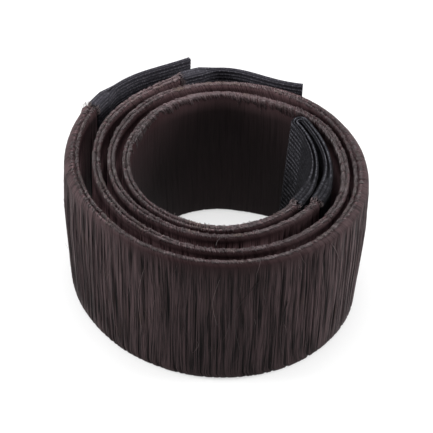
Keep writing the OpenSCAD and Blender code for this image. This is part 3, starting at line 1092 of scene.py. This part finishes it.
# Each ribbon's valley colour and its painted highlight colour on the ribs' tops. The tabs' copy of
# the same ribbon is lighter, as painted light, because they face into the coil.
ribbons = {
    "sleeveRibbon": {"valley": (0.0044, 0.0042, 0.0052, 1), "crestHighlight": (0.062, 0.062, 0.071, 1)},
    "tabRibbon": {"valley": (0.017, 0.0162, 0.02, 1), "crestHighlight": (0.1, 0.095, 0.112, 1)},
}
bumpHeight = 0.00015


def makeHairColourGroup():
    # Hair colour from a lock's tone and fine streaks, tinted beside the rims, darkened and
    # lightened by painted shade and painted light, such as in the grooves, and given a painted
    # highlight on the ridges
    group = bpy.data.node_groups.new("hairColour", "ShaderNodeTree")
    inputs = {"NodeSocketFloat": ("Tone", "Streak", "Shade", "Tone Share", "Calm", "Flank", "Painted_Highlight"),
              "NodeSocketColor": ("Dark", "Light", "Tint", "Lit")}
    for kind, labels in inputs.items():
        for label in labels:
            group.interface.new_socket(label, in_out="INPUT", socket_type=kind)
    group.interface.new_socket("Colour", in_out="OUTPUT", socket_type="NodeSocketColor")
    given = group.nodes.new("NodeGroupInput").outputs
    result = group.nodes.new("NodeGroupOutput").inputs
    contrast, level = hairColour["streakContrast"]
    fine = calculated(group, "MULTIPLY_ADD", given["Streak"], contrast, level)
    both = calculated(group, "MULTIPLY_ADD", given["Tone"], given["Tone Share"], fine, clamp=True)
    even = addNode(group, "ShaderNodeMix", in_0=given["Calm"], in_2=both,
                   in_3=hairColour["calmLevel"]).outputs[0]
    mixed = mixedColour(group, even, given["Dark"], given["Light"])
    tinted = mixedColour(group, given["Flank"], mixed, given["Tint"])
    # Painted shade and painted light multiply the colour
    shaded = mixedColour(group, 1.0, tinted, given["Shade"], "MULTIPLY")
    # Painted highlight: the Lit colour is mixed in, more on pale hair
    onPale, onAll = hairColour["sparkle"]
    spark = calculated(group, "MULTIPLY_ADD", even, onPale, onAll)
    amount = calculated(group, "MULTIPLY", spark, given["Painted_Highlight"])
    lit = mixedColour(group, amount, shaded, given["Lit"])
    group.links.new(lit, result["Colour"])
    return group


def mapped(tree, scale):  # the piece's own map, stretched
    comb = addNode(tree, "ShaderNodeUVMap", uv_map="comb")
    return addNode(tree, "ShaderNodeMapping", in_Vector=comb.outputs[0], in_Scale=scale).outputs[0]


def bumpFrom(tree, height, strength, invert=False):
    return addNode(tree, "ShaderNodeBump", invert=invert, in_Strength=strength,
                   in_Distance=bumpHeight, in_Height=height).outputs[0]


def newMaterial(name, roughness, gloss, **values):
    material = bpy.data.materials.new(name)
    material.use_nodes = True
    tree = material.node_tree
    shader = fillNode(tree, tree.nodes["Principled BSDF"], in_Roughness=roughness,
                      in_Specular_IOR_Level=gloss, **values)
    return material, tree, shader


def colourNode(tree, group, layers, finish, **values):
    # The layers' sockets read attributes, and the finish gives colours by their socket's name
    colour = addNode(tree, "ShaderNodeGroup", node_tree=group, **values)
    for name in ("Dark", "Light", "Tint", "Lit"):
        if name in finish:
            colour.inputs[name].default_value = finish[name]
    for name in layers:
        layer = addNode(tree, "ShaderNodeAttribute", attribute_name=name.lower())
        tree.links.new(layer.outputs["Fac"], colour.inputs[name])
    return colour.outputs[0]


def makeHairMaterial(colourGroup):
    material, tree, shader = newMaterial("woundHair", woundHair["roughness"], woundHair["gloss"])
    streak = addNode(tree, "ShaderNodeTexNoise", in_Vector=mapped(tree, woundHair["streaks"]),
                     in_Scale=1.0, in_Detail=woundHair["streakDetail"],
                     in_Roughness=woundHair["streakRoughness"]).outputs[0]
    colour = colourNode(
        tree, colourGroup, ("Tone", "Shade", "Flank", "Painted_Highlight", "Calm"), woundHair,
        in_Streak=streak, in_Tone_Share=woundHair["toneShare"])
    fillNode(tree, shader, in_Base_Color=colour,
             in_Normal=bumpFrom(tree, streak, woundHair["bump"]))
    return material


def makeStrandMaterial(colourGroup, name):
    finish = singleHairs[name]
    material, tree, shader = newMaterial(name, singleHair["roughness"], finish["gloss"])
    place = addNode(tree, "ShaderNodeTexCoord")
    patches = addNode(tree, "ShaderNodeTexNoise", in_Vector=place.outputs["Object"],
                      in_Scale=singleHair["patches"], in_Detail=singleHair["patchDetail"])
    first, last = singleHair["patchEdges"]
    golden = addNode(tree, "ShaderNodeMapRange", in_Value=patches.outputs[0], in_From_Min=first,
                     in_From_Max=last)
    # The painted highlight colour, golden in patches
    gold = [part * share for part, share in zip(finish["Lit"], singleHair["golden"])]
    hue = mixedColour(tree, golden.outputs[0], finish["Lit"], (*gold, 1))
    colour = colourNode(tree, colourGroup, ("Tone", "Painted_Highlight"), finish, in_Lit=hue,
                        in_Streak=singleHair["streak"], in_Tone_Share=1, in_Shade=1, in_Flank=0)
    fillNode(tree, shader, in_Base_Color=colour)
    return material


def makeRibbonMaterial(name):
    material, tree, shader = newMaterial(name, knit["roughness"], knit["gloss"])
    stitch = addNode(tree, "ShaderNodeTexVoronoi", in_Vector=mapped(tree, knit["stitches"]),
                     in_Scale=1.0, in_Randomness=knit["unevenness"]).outputs["Distance"]
    rib = addNode(tree, "ShaderNodeAttribute", attribute_name="rib")
    middle, edge = knit["stitchTone"]
    tone = addNode(tree, "ShaderNodeMapRange", in_Value=stitch, in_From_Max=knit["stitchSize"],
                   in_To_Min=middle, in_To_Max=edge)
    # Painted highlight: the rib layer and the stitches mix the valley colour towards the highlight
    # colour, as glints
    lift = calculated(tree, "MULTIPLY", rib.outputs["Fac"], tone.outputs[0])
    tint = mixedColour(tree, lift, ribbons[name]["valley"], ribbons[name]["crestHighlight"])
    fillNode(tree, shader, in_Base_Color=tint,
             in_Normal=bumpFrom(tree, stitch, knit["bump"], True))
    return material


view = {
    "lens": 165.09, "sensor": 36, "nearest": 0.01,
    "place": (-0.000561, -0.4267, 0.4133), "towards": (-0.000561, 0, 0.0223),
}
studio = {
    "floorHalf": 3, "floor": (0.25, 0.25, 0.25, 1), "white": (1, 1, 1, 1),
    "floorRoughness": 0.9, "floorGlow": 0.6, "surroundings": 0.25,
    "lit": (0, 0, 0.02),  # the point that the lights face
    # place, size and watts
    "lights": {
        "topSoftbox": ((0.0, 0.06, 0.8), (0.45, 0.45), 9.0),
        "frontSoftbox": ((-0.1, -0.8, 0.5), (0.6, 0.3), 0.6),
        "leftSoftbox": ((-0.7, 0.03, 0.35), (0.3, 0.3), 8.5),
        "rightSoftbox": ((0.7, 0.03, 0.35), (0.3, 0.3), 8.5),
    },
}


def aim(thing, place, towards):
    thing.location = place
    way = Vector(towards) - thing.location
    thing.rotation_euler = way.to_track_quat("-Z", "Y").to_euler()


def makeCamera():
    camera = addObject("camera", bpy.data.cameras.new("camera"))
    camera.data.lens = view["lens"]
    camera.data.sensor_width = view["sensor"]
    camera.data.clip_start = view["nearest"]
    aim(camera, view["place"], view["towards"])
    bpy.context.scene.camera = camera


def makeLight(name, place, size, watts):
    light = bpy.data.lights.new(name, "AREA")
    light.shape = "RECTANGLE"
    light.size, light.size_y = size
    light.energy = watts
    aim(addObject(name, light), place, studio["lit"])


def makeStudio():
    bm = bmesh.new()
    bmesh.ops.create_grid(bm, x_segments=1, y_segments=1, size=studio["floorHalf"])
    mesh = bpy.data.meshes.new("floor")
    bm.to_mesh(mesh)
    bm.free()
    addObject("floor", mesh)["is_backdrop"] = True
    material = newMaterial(
        "paleFloor", studio["floorRoughness"], 0, in_Base_Color=studio["floor"],
        in_Emission_Color=studio["white"], in_Emission_Strength=studio["floorGlow"])[0]
    mesh.materials.append(material)
    world = bpy.data.worlds.new("studio")
    world.use_nodes = True
    background = world.node_tree.nodes["Background"]
    background.inputs["Color"].default_value = studio["white"]
    background.inputs["Strength"].default_value = studio["surroundings"]
    bpy.context.scene.world = world
    for name, (place, size, watts) in studio["lights"].items():
        makeLight(name, place, size, watts)
    bpy.context.scene.view_settings.view_transform = "Standard"


makeCamera()
makeStudio()
print("camera and studio are ready")

colourGroup = makeHairColourGroup()
hairMaterial = makeHairMaterial(colourGroup)
rimMaterial, wallMaterial, looseMaterial = (
    makeStrandMaterial(colourGroup, name) for name in singleHairs)
sleeveMaterial, tabMaterial = (makeRibbonMaterial(name) for name in ribbons)

for name, band in halfBands.items():
    makeHalfBand(name, band).data.materials.append(hairMaterial)
print("half-bands are wound")

outerBand, innerBand = halfBands["outerHalfBand"], halfBands["innerHalfBand"]
makeRimStrands("innerRimStrands", innerBand).data.materials.append(rimMaterial)
makeRimStrands("outerRimStrands", outerBand).data.materials.append(rimMaterial)
makeWallStrands("wallStrands", outerBand).data.materials.append(wallMaterial)
makeLooseHairs(outerBand).data.materials.append(looseMaterial)
makeMouthHairs().data.materials.append(rimMaterial)
print("strands are combed")

for name, tab in tabs.items():
    makeTab(name, tab).data.materials.append(tabMaterial)
makeInnerSleeve().data.materials.append(sleeveMaterial)
print("ribbons are sewn on")

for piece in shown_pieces():
    triangles = sum(len(p.vertices) - 2 for p in piece.data.polygons)
    print(piece.name, triangles, [round(1000 * d, 2) for d in piece.dimensions])
